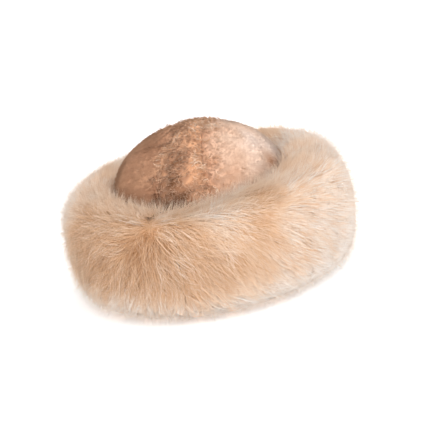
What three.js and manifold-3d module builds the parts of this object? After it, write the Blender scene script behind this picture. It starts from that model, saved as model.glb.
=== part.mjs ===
// Winter hat: a domed crown of sheared sheepskin, sewn from a centre panel and two side panels, in a
// deep turned-up cuff of long fur. The cuff is two halves, joined at the front and at the back.
// Millimetres, +Z up, the wearer's front towards -Y and left towards +X. The origin is on the ground,
// below the middle of the hat, which rests on the underside of the fur.
import * as THREE from "three";
import { mergeVertices } from "three/addons/utils/BufferGeometryUtils.js";
import Module from "manifold-3d";

// Head opening and crown
const HEAD_WIDTH = 169;
const HEAD_LENGTH = 200;
const CROWN_WALL = 7.5; // skin and sheared pile
const SEAM_WALL = 5; // the same wall pulled thin by a seam
const DENT_DEPTH = 2; // the deepest hollow in the pile
const RIM_HEIGHT = 6; // ground to the edge of the head opening
const SHOULDER_HEIGHT = 104; // ground to where the upright side turns into the dome
const DOME_HEIGHT = 57; // shoulder to the top of the hollow
const DOME_FULLNESS = 1.85; // 2 is an ellipse, and less is more pointed
const CENTRE_TOP_WIDTH = 35;
const CENTRE_RIM_WIDTH = 66;
const PILLOW_WIDTH = 26; // how far from a seam the pile takes to reach its full height
const SEAM_GAP = 0.3; // between pieces that are sewn together

// Fur cuff
const CUFF_REACH = 68; // crown to the outside of the fur
const CUFF_HEIGHT = 118; // ground to the highest fur
const CUFF_DIP = 9; // how far the fur sinks beside the crown
const UNDERFUR_DEPTH = 7; // the closed fur lies this far inside the outside of the locks
const LOCK_THICKNESS = 12;
const LOCK_ROOT_DEPTH = 19;
const LOCK_TIP_DEPTH = 3;
const PARTING_TURN = -10; // degrees from the front to where the fur parts
const PARTING_REACH = 55; // how far below the parting the fur has turned half way down
const MOST_SWEEP = 66; // degrees from straight down to the flattest fur beside the parting
const BACK_TURN = 40; // degrees from the back over which the fur turns straight down
const PRESSED = { from: 0.7, to: 0.9 }; // where the fur under the hat becomes flat, over the section

// Facets, and the share of a panel's facets that lies on the dome
const GRID = { along: 22, centre: 5, side: 9, dome: 0.78, around: 48, section: 15, lock: 5 };
const FINEST_FACET = 0.3; // slivers where locks cross that are smaller than this are left out
const SEED = 7;
const PLAY = { turn: 0.04, lean: 0.16, size: 0.14 }; // how unlike each other the locks are

// Shallow hollows in the pile of the crown. across and along run from the top to the rim as 0 to 1.
const DENTS = [
  { across: -0.11, along: -0.48, spread: 0.1, depth: 0.9 },
  { across: 0.64, along: -0.12, spread: 0.11, depth: 1 },
  { across: -0.12, along: -0.16, spread: 0.12, depth: 0.6 },
  { across: 0.3, along: 0.45, spread: 0.18, depth: 0.6 },
  { across: -0.45, along: 0.38, spread: 0.18, depth: 0.6 },
];

// How full the fur is round the head: shares of CUFF_REACH and CUFF_HEIGHT, turning from the front
// towards the wearer's left.
const FULLNESS = [
  { turn: 0, reach: 1.0, height: 0.97 },
  { turn: 45, reach: 1.01, height: 1.04 },
  { turn: 90, reach: 1.03, height: 1.07 },
  { turn: 135, reach: 1.02, height: 1.07 },
  { turn: 180, reach: 1.0, height: 1.03 },
  { turn: 225, reach: 0.99, height: 1.01 },
  { turn: 270, reach: 0.99, height: 1.01 },
  { turn: 315, reach: 1.0, height: 1.0 },
];

// Rows of locks from the crown outwards and down. over is the place of the roots on the section,
// from 0 at the crown to 1 under the hat. length and width are shares of CUFF_HEIGHT.
const LOCK_ROWS = [
  { over: 0.02, count: 22, length: 0.68, width: 0.2 },
  { over: 0.19, count: 26, length: 0.76, width: 0.22 },
  { over: 0.36, count: 27, length: 0.72, width: 0.23 },
  { over: 0.52, count: 27, length: 0.56, width: 0.23 },
  { over: 0.64, count: 24, length: 0.42, width: 0.24 },
];

// The outline of one lock, root to tip: a share of its length, its width and its thickness
const LOCK_OUTLINE = [
  { along: 0, wide: 0, thick: 0 },
  { along: 0.14, wide: 0.75, thick: 0.9 },
  { along: 0.4, wide: 1, thick: 1 },
  { along: 0.72, wide: 0.72, thick: 0.7 },
  { along: 1, wide: 0, thick: 0 },
];

const CREAM = 0xe8cdb2;
const PEACH = 0xe6c4a2;
const TAN = 0xc79a7a;
const BROWN = 0xb58a68;

const wasm = await Module();
wasm.setup();

// A closed geometry as a solid, whichever way its faces were wound
function solidFrom(geometry) {
  const bare = geometry.index ? geometry.toNonIndexed() : geometry.clone();
  bare.deleteAttribute("normal");
  bare.deleteAttribute("uv");
  const merged = mergeVertices(bare, 1e-3);
  const corners = merged.index.array;
  const triVerts = [];
  for (let i = 0; i < corners.length; i += 3) {
    const [a, b, c] = [corners[i], corners[i + 1], corners[i + 2]];
    if (a !== b && b !== c && c !== a) triVerts.push(a, b, c);
  }
  const vertProperties = merged.attributes.position.array;
  const made = new wasm.Manifold(
    new wasm.Mesh({ numProp: 3, vertProperties, triVerts: new Uint32Array(triVerts) }),
  );
  if (made.volume() >= 0) return made;
  return new wasm.Manifold(
    new wasm.Mesh({ numProp: 3, vertProperties, triVerts: new Uint32Array(triVerts.reverse()) }),
  );
}

function geometryFrom(solid) {
  const { vertProperties, triVerts, numProp, numVert } = solid.getMesh();
  const position = new Float32Array(numVert * 3);
  for (let i = 0; i < numVert; i += 1) {
    position.set(vertProperties.subarray(i * numProp, i * numProp + 3), i * 3);
  }
  const geometry = new THREE.BufferGeometry();
  geometry.setAttribute("position", new THREE.BufferAttribute(position, 3));
  geometry.setIndex(new THREE.BufferAttribute(triVerts, 1));
  return geometry.toNonIndexed();
}

// A closed skin over two grids of points with the same rows and columns, the upper and the lower
function slabGeometry(upper, lower) {
  const rows = upper.length;
  const columns = upper[0].length;
  const position = [];
  const quad = (a, b, c, d) => {
    for (const point of [a, b, c, a, c, d]) position.push(point.x, point.y, point.z);
  };
  for (let i = 0; i + 1 < rows; i += 1) {
    for (let j = 0; j + 1 < columns; j += 1) {
      quad(upper[i][j], upper[i + 1][j], upper[i + 1][j + 1], upper[i][j + 1]);
      quad(lower[i][j], lower[i][j + 1], lower[i + 1][j + 1], lower[i + 1][j]);
    }
  }
  for (let i = 0; i + 1 < rows; i += 1) {
    const last = columns - 1;
    quad(upper[i][0], lower[i][0], lower[i + 1][0], upper[i + 1][0]);
    quad(upper[i][last], upper[i + 1][last], lower[i + 1][last], lower[i][last]);
  }
  for (let j = 0; j + 1 < columns; j += 1) {
    const last = rows - 1;
    quad(upper[0][j], upper[0][j + 1], lower[0][j + 1], lower[0][j]);
    quad(upper[last][j], lower[last][j], lower[last][j + 1], upper[last][j + 1]);
  }
  const geometry = new THREE.BufferGeometry();
  geometry.setAttribute("position", new THREE.Float32BufferAttribute(position, 3));
  return geometry;
}

// A point of the crown. across and along are its place on a flat plan of the crown, where the top is
// at 0, 0 and the rim is the circle of radius 1. lift is its distance out from the hollow.
function crownPoint(across, along, lift) {
  const reach = Math.hypot(across, along);
  const halfWidth = HEAD_WIDTH / 2 + lift;
  const halfLength = HEAD_LENGTH / 2 + lift;
  const sideways = reach > 0 ? across / reach : 0;
  const lengthways = reach > 0 ? along / reach : 0;
  if (reach >= GRID.dome) {
    const down = (reach - GRID.dome) / (1 - GRID.dome);
    const up = THREE.MathUtils.lerp(SHOULDER_HEIGHT, RIM_HEIGHT, down);
    return new THREE.Vector3(halfWidth * sideways, halfLength * lengthways, up);
  }
  const turn = ((reach / GRID.dome) * Math.PI) / 2;
  const out = Math.sin(turn) ** (2 / DOME_FULLNESS);
  const up = SHOULDER_HEIGHT + (DOME_HEIGHT + lift) * Math.cos(turn) ** (2 / DOME_FULLNESS);
  return new THREE.Vector3(halfWidth * out * sideways, halfLength * out * lengthways, up);
}

// The seam's place across the plan, from its half width at the top and at the rim
const HALF_CROWN = HEAD_WIDTH / 2 + CROWN_WALL;
const SEAM_AT_TOP = (CENTRE_TOP_WIDTH / 2 / HALF_CROWN) * (GRID.dome / (Math.PI / 2));
const SEAM_AT_RIM = CENTRE_RIM_WIDTH / 2 / HALF_CROWN;
const seamAcross = (along) => SEAM_AT_TOP + (SEAM_AT_RIM - SEAM_AT_TOP) * along * along;

// Millimetres on the crown for each unit across its plan
function acrossScale(across, along) {
  const step = 1e-3;
  const a = crownPoint(across - step, along, CROWN_WALL);
  return a.distanceTo(crownPoint(across + step, along, CROWN_WALL)) / (2 * step);
}

// Where a seam that is moved out by shift millimetres runs, and where it meets the rim
function movedSeam(along, shift) {
  const across = seamAcross(along);
  return across + shift / acrossScale(across, along);
}

function seamEnd(shift) {
  let [near, far] = [0, 1];
  for (let i = 0; i < 40; i += 1) {
    const along = (near + far) / 2;
    if (Math.hypot(movedSeam(along, shift), along) < 1) near = along;
    else far = along;
  }
  return near;
}

// Height of the pile, which falls towards a seam and in the dents, and is full inside the cuff
function pileHeight(across, along) {
  const fromSeam = Math.abs(Math.abs(across) - seamAcross(along)) * acrossScale(across, along);
  let fall = (CROWN_WALL - SEAM_WALL) * (1 - THREE.MathUtils.smoothstep(fromSeam, 0, PILLOW_WIDTH));
  for (const dent of DENTS) {
    const away = Math.hypot(across - dent.across, along - dent.along) / dent.spread;
    fall += dent.depth * DENT_DEPTH * Math.exp(-away * away);
  }
  const shown = 1 - THREE.MathUtils.smoothstep(Math.hypot(across, along), GRID.dome, 1);
  return CROWN_WALL - fall * shown;
}

// Rows of plan places from rim to rim, front to back, turned into the two faces of a panel
function panelGeometry(place, columns) {
  const faces = [[], []];
  for (let i = 0; i <= GRID.along; i += 1) {
    const along = -1 + (2 * i) / GRID.along;
    faces.forEach((face) => face.push([]));
    for (let j = 0; j <= columns; j += 1) {
      const at = place(along, j / columns);
      faces[0][i].push(crownPoint(at.across, at.along, pileHeight(at.across, at.along)));
      faces[1][i].push(crownPoint(at.across, at.along, 0));
    }
  }
  return slabGeometry(faces[0], faces[1]);
}

function centrePanelGeometry() {
  const end = seamEnd(-SEAM_GAP / 2);
  const widest = movedSeam(end, -SEAM_GAP / 2);
  return panelGeometry((share, over) => {
    const side = 2 * over - 1;
    const across = side * movedSeam(share * end, -SEAM_GAP / 2);
    const along = share * Math.sqrt(1 - (side * widest) ** 2);
    return { across, along };
  }, GRID.centre);
}

function sidePanelGeometry(side) {
  const end = seamEnd(SEAM_GAP / 2);
  return panelGeometry((share, over) => {
    const along = share * end;
    const inner = movedSeam(along, SEAM_GAP / 2);
    const outer = Math.sqrt(Math.max(1 - along * along, inner * inner));
    return { across: side * THREE.MathUtils.lerp(inner, outer, over), along };
  }, GRID.side);
}

// A share of the table, blended smoothly from one row to the next round the head
function fullness(angle, column) {
  const step = 360 / FULLNESS.length;
  const place = THREE.MathUtils.euclideanModulo(THREE.MathUtils.radToDeg(angle), 360) / step;
  const row = Math.floor(place) % FULLNESS.length;
  const next = FULLNESS[(row + 1) % FULLNESS.length];
  const blend = THREE.MathUtils.smoothstep(place - Math.floor(place), 0, 1);
  return THREE.MathUtils.lerp(FULLNESS[row][column], next[column], blend);
}

// Section of the fur, from the crown over the top, down the outside and back under the hat. Its x is
// the way out from the crown, and its y the height.
const onSection = (out, up) => [out * CUFF_REACH, up * CUFF_HEIGHT];
const CUFF_SECTION = new THREE.Path()
  .moveTo(0, CUFF_HEIGHT - CUFF_DIP)
  .bezierCurveTo(...onSection(0.1, 0.98), ...onSection(0.26, 1), ...onSection(0.42, 1))
  .bezierCurveTo(...onSection(0.84, 1), ...onSection(1, 0.88), ...onSection(1, 0.58))
  .lineTo(...onSection(1, 0.4))
  .bezierCurveTo(...onSection(1, 0.12), ...onSection(0.9, 0), ...onSection(0.6, 0))
  .lineTo(0, 0);
CUFF_SECTION.arcLengthDivisions = 400;

// A point of the cuff at an angle round the head, a place over its section, and a depth in the fur
function cuffPoint(angle, over, depth) {
  const share = THREE.MathUtils.clamp(over, 0, 1);
  const at = CUFF_SECTION.getPointAt(share);
  const heading = CUFF_SECTION.getTangentAt(share);
  const out = at.x * fullness(angle, "reach") + heading.y * depth;
  const up = at.y * fullness(angle, "height") - heading.x * depth;
  return standOff(angle, out, up);
}

// A point out from the crown and up from the ground, at an angle from the front
function standOff(angle, out, up) {
  const halfWidth = HALF_CROWN + SEAM_GAP;
  const halfLength = HEAD_LENGTH / 2 + CROWN_WALL + SEAM_GAP;
  const normal = new THREE.Vector2(Math.sin(angle) * halfLength, -Math.cos(angle) * halfWidth);
  normal.normalize();
  return new THREE.Vector3(
    halfWidth * Math.sin(angle) + normal.x * out,
    -halfLength * Math.cos(angle) + normal.y * out,
    up,
  );
}

// The closed fur under the locks, on its skin: a ring with the form of the cuff
function underfurSolid() {
  const rows = [];
  for (let i = 0; i < GRID.around; i += 1) {
    const angle = (2 * Math.PI * i) / GRID.around;
    const row = [];
    for (let j = 0; j <= GRID.section; j += 1) {
      const over = j / GRID.section;
      const flat = THREE.MathUtils.smoothstep(over, PRESSED.from, PRESSED.to);
      const depth = UNDERFUR_DEPTH * (1 - flat);
      const point = cuffPoint(angle, over, depth);
      row.push(j === 0 || j === GRID.section ? standOff(angle, 0, point.z) : point);
    }
    rows.push(row);
  }
  return solidFrom(ringGeometry(rows));
}

// A ring of sections, closed round the head and from the last point of each section to its first
function ringGeometry(rows) {
  const position = [];
  const columns = rows[0].length;
  rows.forEach((row, i) => {
    const next = rows[(i + 1) % rows.length];
    for (let j = 0; j < columns; j += 1) {
      const k = (j + 1) % columns;
      for (const point of [row[j], row[k], next[k], row[j], next[k], next[j]]) {
        position.push(point.x, point.y, point.z);
      }
    }
  });
  const geometry = new THREE.BufferGeometry();
  geometry.setAttribute("position", new THREE.Float32BufferAttribute(position, 3));
  return geometry;
}

// Which way the fur lies, as an angle from straight over the section: away from the parting near it,
// then down, and straight down where the halves meet at the back
function sweep(angle, over) {
  const parting = THREE.MathUtils.degToRad(PARTING_TURN);
  const turned = THREE.MathUtils.euclideanModulo(angle - parting + Math.PI, 2 * Math.PI) - Math.PI;
  const aside = turned * (HALF_CROWN + CUFF_REACH);
  const down = PARTING_REACH + over * CUFF_SECTION.getLength();
  const most = THREE.MathUtils.degToRad(MOST_SWEEP);
  const free = THREE.MathUtils.clamp(Math.atan2(aside, down), -most, most);
  const fromBack = 180 - THREE.MathUtils.radToDeg(Math.abs(turned));
  return free * THREE.MathUtils.smoothstep(fromBack, 0, BACK_TURN);
}

// Places along a lock that starts at an angle and a place over the section and follows the fur
function lockSpine(angle, row, length, lean) {
  const place = { angle, over: row.over };
  return LOCK_OUTLINE.map((step, i) => {
    const heading = sweep(place.angle, place.over) + lean;
    if (i > 0) {
      const stride = (step.along - LOCK_OUTLINE[i - 1].along) * length;
      place.angle += (stride * Math.sin(heading)) / (HALF_CROWN + CUFF_REACH);
      place.over += (stride * Math.cos(heading)) / CUFF_SECTION.getLength();
    }
    return { ...place, heading };
  });
}

// One lock of long fur: a flattened spindle bent over the form of the cuff
function lockSolid(angle, row, size, lean) {
  const length = row.length * CUFF_HEIGHT * size;
  const halfWidth = (row.width * CUFF_HEIGHT) / 2;
  const spine = lockSpine(angle, row, length, lean);
  const outline = LOCK_OUTLINE.map((step) => new THREE.Vector2(step.wide, step.along));
  const spindle = new THREE.LatheGeometry(outline, GRID.lock);
  const position = spindle.attributes.position;
  for (let i = 0; i < position.count; i += 1) {
    const k = i % LOCK_OUTLINE.length;
    const step = LOCK_OUTLINE[k];
    const aside = position.getX(i) * halfWidth;
    const settle = Math.sin((step.along * Math.PI) / 2);
    const middle = THREE.MathUtils.lerp(LOCK_ROOT_DEPTH, LOCK_TIP_DEPTH, settle);
    const outward = step.wide ? (position.getZ(i) / step.wide) * step.thick : 0;
    const point = cuffPoint(
      spine[k].angle + (aside * Math.cos(spine[k].heading)) / (HALF_CROWN + CUFF_REACH),
      spine[k].over - (aside * Math.sin(spine[k].heading)) / CUFF_SECTION.getLength(),
      middle - (outward * LOCK_THICKNESS) / 2,
    );
    position.setXYZ(i, point.x, point.y, point.z);
  }
  return solidFrom(spindle);
}

function locks() {
  THREE.MathUtils.seededRandom(SEED);
  const vary = (spread) => (2 * THREE.MathUtils.seededRandom() - 1) * spread;
  return LOCK_ROWS.flatMap((row, r) =>
    Array.from({ length: row.count }, (_, i) => {
      const angle = (2 * Math.PI * (i + (r % 2) / 2)) / row.count + vary(PLAY.turn);
      return lockSolid(angle, row, 1 + vary(PLAY.size), vary(PLAY.lean));
    }),
  );
}

function boxSolid(low, high) {
  const size = new THREE.Vector3().subVectors(high, low);
  const box = new THREE.BoxGeometry(size.x, size.y, size.z);
  box.translate(low.x + size.x / 2, low.y + size.y / 2, low.z + size.z / 2);
  return solidFrom(box);
}

// The room that the crown takes: its oval from the ground to above the hat
function crownRoom() {
  const oval = new THREE.CylinderGeometry(1, 1, 3 * CUFF_HEIGHT, 2 * GRID.around);
  oval.rotateX(Math.PI / 2);
  oval.scale(HALF_CROWN + SEAM_GAP, HEAD_LENGTH / 2 + CROWN_WALL + SEAM_GAP, 1);
  return solidFrom(oval);
}

// The largest body of a solid, with the small hollows that are shut in among the locks filled
function mainBody(solid) {
  const bodies = solid.decompose().sort((a, b) => b.volume() - a.volume());
  return bodies[0];
}

function cuffHalves() {
  const fused = wasm.Manifold.union([underfurSolid(), ...locks()]);
  const ring = fused.subtract(crownRoom()).simplify(FINEST_FACET);
  const far = 2 * (HEAD_LENGTH + CUFF_REACH);
  const half = (side) => {
    const [x0, x1] = side > 0 ? [SEAM_GAP / 2, far] : [-far, -SEAM_GAP / 2];
    const room = boxSolid(new THREE.Vector3(x0, -far, 0), new THREE.Vector3(x1, far, far));
    return mainBody(ring.intersect(room));
  };
  return { left: half(1), right: half(-1) };
}

function piece(name, geometry, color) {
  const material = new THREE.MeshStandardMaterial({ color, roughness: 0.95, metalness: 0 });
  const mesh = new THREE.Mesh(geometry, material);
  mesh.name = name;
  return mesh;
}

const hat = new THREE.Group();
hat.add(piece("crown_centre_panel", geometryFrom(solidFrom(centrePanelGeometry())), BROWN));
hat.add(piece("crown_left_panel", geometryFrom(solidFrom(sidePanelGeometry(1))), CREAM));
hat.add(piece("crown_right_panel", geometryFrom(solidFrom(sidePanelGeometry(-1))), TAN));
const halves = cuffHalves();
hat.add(piece("fur_cuff_left", geometryFrom(halves.left), PEACH));
hat.add(piece("fur_cuff_right", geometryFrom(halves.right), PEACH));

// The fur isn't equally full all round, so the middle of the hat is found from the whole
const middle = new THREE.Box3().setFromObject(hat).getCenter(new THREE.Vector3());
hat.position.set(-middle.x, -middle.y, 0);

export default hat;
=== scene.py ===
"""Looks of a winter hat: a domed crown of sheared sheepskin in a deep cuff of long fur."""

import math

import bpy
import numpy as np
from bpy.props import (
    FloatProperty,
    FloatVectorProperty,
    IntProperty,
    PointerProperty,
)
from mathutils import Matrix, Vector


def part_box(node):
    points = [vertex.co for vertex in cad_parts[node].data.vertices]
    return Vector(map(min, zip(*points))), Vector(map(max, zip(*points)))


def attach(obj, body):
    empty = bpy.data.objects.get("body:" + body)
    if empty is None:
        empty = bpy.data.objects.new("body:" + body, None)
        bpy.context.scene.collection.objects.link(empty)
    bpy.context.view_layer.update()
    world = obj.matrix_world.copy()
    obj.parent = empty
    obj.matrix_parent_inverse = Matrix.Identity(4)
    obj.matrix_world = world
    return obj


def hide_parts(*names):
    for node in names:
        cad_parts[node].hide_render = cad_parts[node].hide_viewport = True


bl_info = {
    "name": "Fur Hat Maker",
    "version": (1, 0, 0),
    "blender": (4, 5, 0),
    "location": "View3D > Sidebar > Hat",
    "description": "Dresses the solids of a sheepskin hat in its pile and its long fur",
    "category": "Add Mesh",
}

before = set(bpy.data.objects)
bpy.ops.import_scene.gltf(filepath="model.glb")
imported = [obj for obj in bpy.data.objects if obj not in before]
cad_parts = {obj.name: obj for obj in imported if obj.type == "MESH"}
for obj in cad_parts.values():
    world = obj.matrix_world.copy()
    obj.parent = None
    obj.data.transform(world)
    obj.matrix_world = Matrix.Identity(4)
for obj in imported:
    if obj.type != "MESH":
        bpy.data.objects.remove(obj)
bpy.ops.object.select_all(action="DESELECT")
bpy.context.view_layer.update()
MM = 0.001
TAU = 2 * math.pi
SIDES = {"left": 1, "right": -1}


def corners(*nodes):
    """Lowest and highest corner of several nodes together."""
    boxes = [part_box(node) for node in nodes]
    low = np.min([np.array(box[0]) for box in boxes], axis=0)
    high = np.max([np.array(box[1]) for box in boxes], axis=0)
    return low, high


# Sizes that the frame gives
CROWN_LOW, CROWN_HIGH = corners("crown_centre_panel", "crown_left_panel", "crown_right_panel")
HEAD = (CROWN_LOW + CROWN_HIGH) / 2
HALF_WIDTH, HALF_LENGTH = ((CROWN_HIGH - CROWN_LOW) / 2)[:2]
CROWN_TOP = CROWN_HIGH[2]

# Sizes that the solids follow
SEAM_GAP = 0.3 * MM
SHOULDER = 104 * MM
DOME_FULLNESS = 1.85
DOME_SHARE = 0.78
SEAM_AT_TOP = 17.5 * MM
SEAM_AT_RIM = 33 * MM
CUFF_REACH = 68 * MM
CUFF_HEIGHT = 118 * MM
CUFF_DIP = 9 * MM

# How the fur is parted: where, from how far off it turns down, and how far it sweeps aside
PARTING = math.radians(-10)
PARTING_OVER = 0.215
PARTING_REACH = 75 * MM
PARTING_BACK = 12 * MM
MOST_SWEEP = math.radians(102)
BACK_TURN = math.radians(40)

# How full the fur is round the head, turning from the front towards the wearer's left
FULLNESS = (
    # reach, height
    (1.00, 0.97),
    (1.01, 1.04),
    (1.03, 1.07),
    (1.02, 1.07),
    (1.00, 1.03),
    (0.99, 1.01),
    (0.99, 1.01),
    (1.00, 1.00),
)


def srgb(red, green, blue):
    """A colour as a screen shows it, from 0 to 255, as the numbers that a material takes."""
    shown = np.array([red, green, blue]) / 255
    return tuple(np.where(shown <= 0.04045, shown / 12.92, ((shown + 0.055) / 1.055) ** 2.4))


def smooth(value, low, high):
    """0 below low, 1 above high, and an even ease between them."""
    share = np.clip((value - low) / (high - low), 0, 1)
    return share * share * (3 - 2 * share)


def near(value, middle, spread):
    """1 at the middle, and falling off evenly on both sides of it."""
    return np.exp(-(((value - middle) / spread) ** 2))


def turned_from(angle, middle=0):
    """How far an angle is from another, from minus half a turn to half a turn."""
    return np.mod(angle - middle + math.pi, TAU) - math.pi


def unit(vectors):
    """Vectors of the same direction, one long."""
    return vectors / np.maximum(np.linalg.norm(vectors, axis=-1, keepdims=True), 1e-12)


# The form of the hat, which hair and pile follow


def bezier(points, count=60):
    """Points along a cubic curve."""
    t = np.linspace(0, 1, count)[:, None]
    a, b, c, d = (np.array(point, float) for point in points)
    return (1 - t) ** 3 * a + 3 * (1 - t) ** 2 * t * b + 3 * (1 - t) * t * t * c + t**3 * d


def cuff_section():
    """The section of the fur from the crown over the top, down the outside and back under the hat,
    and how far along it each of its points is."""
    shares = np.concatenate(
        [
            bezier([(0, 1 - CUFF_DIP / CUFF_HEIGHT), (0.1, 0.98), (0.26, 1), (0.42, 1)]),
            bezier([(0.42, 1), (0.84, 1), (1, 0.88), (1, 0.58)])[1:],
            bezier([(1, 0.4), (1, 0.12), (0.9, 0), (0.6, 0)]),
            np.array([(0, 0)]),
        ]
    )
    path = shares * (CUFF_REACH, CUFF_HEIGHT)
    run = np.concatenate([[0], np.cumsum(np.linalg.norm(np.diff(path, axis=0), axis=1))])
    return path, run


SECTION, SECTION_RUN = cuff_section()
SECTION_LENGTH = SECTION_RUN[-1]
OUTER_RADIUS = HALF_WIDTH + CUFF_REACH


def section_at(run):
    """The points that are so far along the section."""
    return np.stack([np.interp(run, SECTION_RUN, SECTION[:, k]) for k in (0, 1)], -1)


def fullness(angle, column):
    """A share of the table, blended smoothly from one row to the next round the head."""
    step = TAU / len(FULLNESS)
    place = np.mod(angle, TAU) / step
    row = np.floor(place).astype(int) % len(FULLNESS)
    shares = np.array(FULLNESS)[:, column]
    blend = smooth(place - np.floor(place), 0, 1)
    return shares[row] * (1 - blend) + shares[(row + 1) % len(FULLNESS)] * blend


def cuff_point(angle, over, depth):
    """Points in the cuff, and the way out of the fur there. angle turns from the front, over runs
    along the section from 0 to 1, and depth is how far in from the outside of the fur."""
    at = np.clip(over, 0, 1) * SECTION_LENGTH
    nudge = 1.5 * MM
    here = section_at(at)
    heading = unit(section_at(at + nudge) - section_at(at - nudge))
    out = here[..., 0] * fullness(angle, 0) + heading[..., 1] * depth
    up = here[..., 1] * fullness(angle, 1) - heading[..., 0] * depth
    wide, long = HALF_WIDTH + SEAM_GAP, HALF_LENGTH + SEAM_GAP
    away = unit(np.stack([np.sin(angle) * long, -np.cos(angle) * wide], -1))
    point = np.stack(
        [
            HEAD[0] + wide * np.sin(angle) + away[..., 0] * out,
            HEAD[1] - long * np.cos(angle) + away[..., 1] * out,
            up,
        ],
        -1,
    )
    outward = np.concatenate([away * -heading[..., 1:], heading[..., :1]], -1)
    return point, outward


def lie_of_fur(angle, over):
    """Which way the fur lies, as an angle from straight over the section: away from the parting on
    all sides near it, then down, and straight down where the halves meet at the back."""
    turned = turned_from(angle, PARTING)
    spread = PARTING_REACH * smooth(np.abs(turned), 0.02, 1)
    down = np.maximum(spread + (over - PARTING_OVER) * SECTION_LENGTH, -PARTING_BACK)
    free = np.clip(np.arctan2(turned * OUTER_RADIUS, down), -MOST_SWEEP, MOST_SWEEP)
    return free * smooth(math.pi - np.abs(turned), 0, BACK_TURN)


def crown_point(across, along, lift):
    """Points on the crown from their place on its flat plan, where the top is at 0, 0 and the rim
    is the circle of radius 1. lift is the distance in from the outside of the pile."""
    reach = np.maximum(np.hypot(across, along), 1e-6)
    turn = np.clip(reach / DOME_SHARE, 0, 1) * math.pi / 2
    out = np.sin(turn) ** (2 / DOME_FULLNESS)
    rise = np.cos(turn) ** (2 / DOME_FULLNESS)
    low = CROWN_LOW[2]
    down = np.clip((reach - DOME_SHARE) / (1 - DOME_SHARE), 0, 1)
    up = np.where(
        reach < DOME_SHARE,
        SHOULDER + (CROWN_TOP - SHOULDER - lift) * rise,
        SHOULDER + (low - SHOULDER) * down,
    )
    return np.stack(
        [
            HEAD[0] + (HALF_WIDTH - lift) * out * across / reach,
            HEAD[1] + (HALF_LENGTH - lift) * out * along / reach,
            up,
        ],
        -1,
    )


def crown_plan(points):
    """Where points on the crown are on its flat plan."""
    aside = (points[..., :2] - HEAD[:2]) / (HALF_WIDTH, HALF_LENGTH)
    out = np.maximum(np.hypot(aside[..., 0], aside[..., 1]), 1e-6)
    turn = np.arcsin(np.clip(out, 0, 1) ** (DOME_FULLNESS / 2))
    scale = turn / (math.pi / 2) * DOME_SHARE / out
    return aside[..., 0] * scale, aside[..., 1] * scale


def crown_axes(across, along):
    """Unit vectors over the crown, towards the wearer's left, towards the back, and out."""
    step = 1e-3
    left = crown_point(across + step, along, 0) - crown_point(across - step, along, 0)
    back = crown_point(across, along + step, 0) - crown_point(across, along - step, 0)
    out = unit(np.cross(left, back))
    left = unit(left)
    return left, np.cross(out, left), out


def seam_across(along):
    """Where the seams run on the plan of the crown, as a distance from its middle line."""
    top = SEAM_AT_TOP / HALF_WIDTH * DOME_SHARE / (math.pi / 2)
    return top + (SEAM_AT_RIM / HALF_WIDTH - top) * along**2


# How much longer a way over the dome is than it is on the plan
OVER_DOME = 1.6


def past_seam(across, along):
    """How far places on the plan of the crown are past the seam on the wearer's left."""
    return (across - seam_across(along)) * HALF_WIDTH * OVER_DOME


# Hairs

# How far the light on a hair is that of the coat that it lies in, from 0 to 1
EVENNESS = 0.95
# How light a hair can be, and how much lighter one of its edges is than the other
SHADES = (0.01, 0.98)
SHADE_OF_EDGE = 0.01
# How near the floor a hair may come, and how far a hair may lie below its neighbours
LOWEST_HAIR = 0.4 * MM
LOWEST_LOFT = -2.5 * MM


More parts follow.
